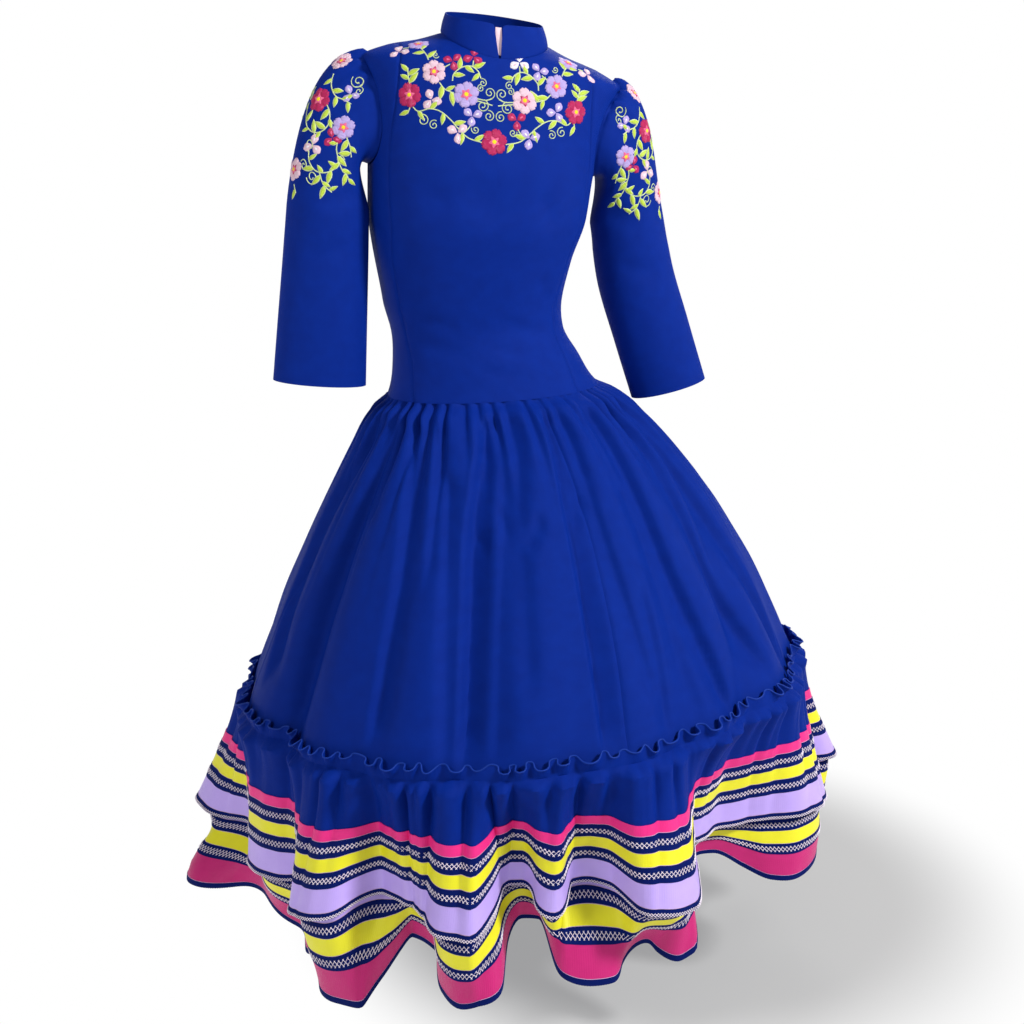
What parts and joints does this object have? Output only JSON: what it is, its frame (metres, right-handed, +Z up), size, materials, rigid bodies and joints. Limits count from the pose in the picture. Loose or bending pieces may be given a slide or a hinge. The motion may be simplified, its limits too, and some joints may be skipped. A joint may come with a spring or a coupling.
{
  "type": "escaramuza dress",
  "caption": "Worn long riding dress: stand collar, three-quarter sleeves, fitted bodice, gathered skirt and ribboned flounces, hollow and open at neck, cuffs and hem.",
  "frame": {"origin": "middle of the neck's base, where the wearer's neck and shoulders carry the dress", "axes": "+Z up along the wearer's neck, -Y to the wearer's front, +X to the wearer's left"},
  "size_m": [1.0745, 0.98, 1.4072],
  "materials": {
    "royal_blue_cloth": "plain woven, soft matt",
    "pale_pink_cloth": "plain woven, soft matt",
    "pink_satin": "satin sheen",
    "yellow_satin": "satin sheen",
    "lilac_satin": "satin sheen",
    "magenta_satin": "satin sheen"
  },
  "bodies": {
    "root": {"bodice_front": "royal_blue_cloth", "bodice_side_front_left": "royal_blue_cloth", "bodice_side_front_right": "royal_blue_cloth", "bodice_back_left": "royal_blue_cloth", "bodice_back_right": "royal_blue_cloth", "collar_left": "royal_blue_cloth", "collar_right": "royal_blue_cloth", "sleeve_left": "royal_blue_cloth", "sleeve_right": "royal_blue_cloth", "skirt_front": "royal_blue_cloth", "skirt_side_left": "royal_blue_cloth", "skirt_back": "royal_blue_cloth", "skirt_side_right": "royal_blue_cloth", "flounce_upper": "royal_blue_cloth", "flounce_lower": "royal_blue_cloth", "collar_underlap": "pale_pink_cloth", "ribbon_upper_pink": "pink_satin", "ribbon_upper_yellow": "yellow_satin", "ribbon_upper_lilac": "lilac_satin", "ribbon_lower_lilac": "lilac_satin", "ribbon_lower_yellow": "yellow_satin", "ribbon_lower_magenta": "magenta_satin"}
  },
  "joints": []
}
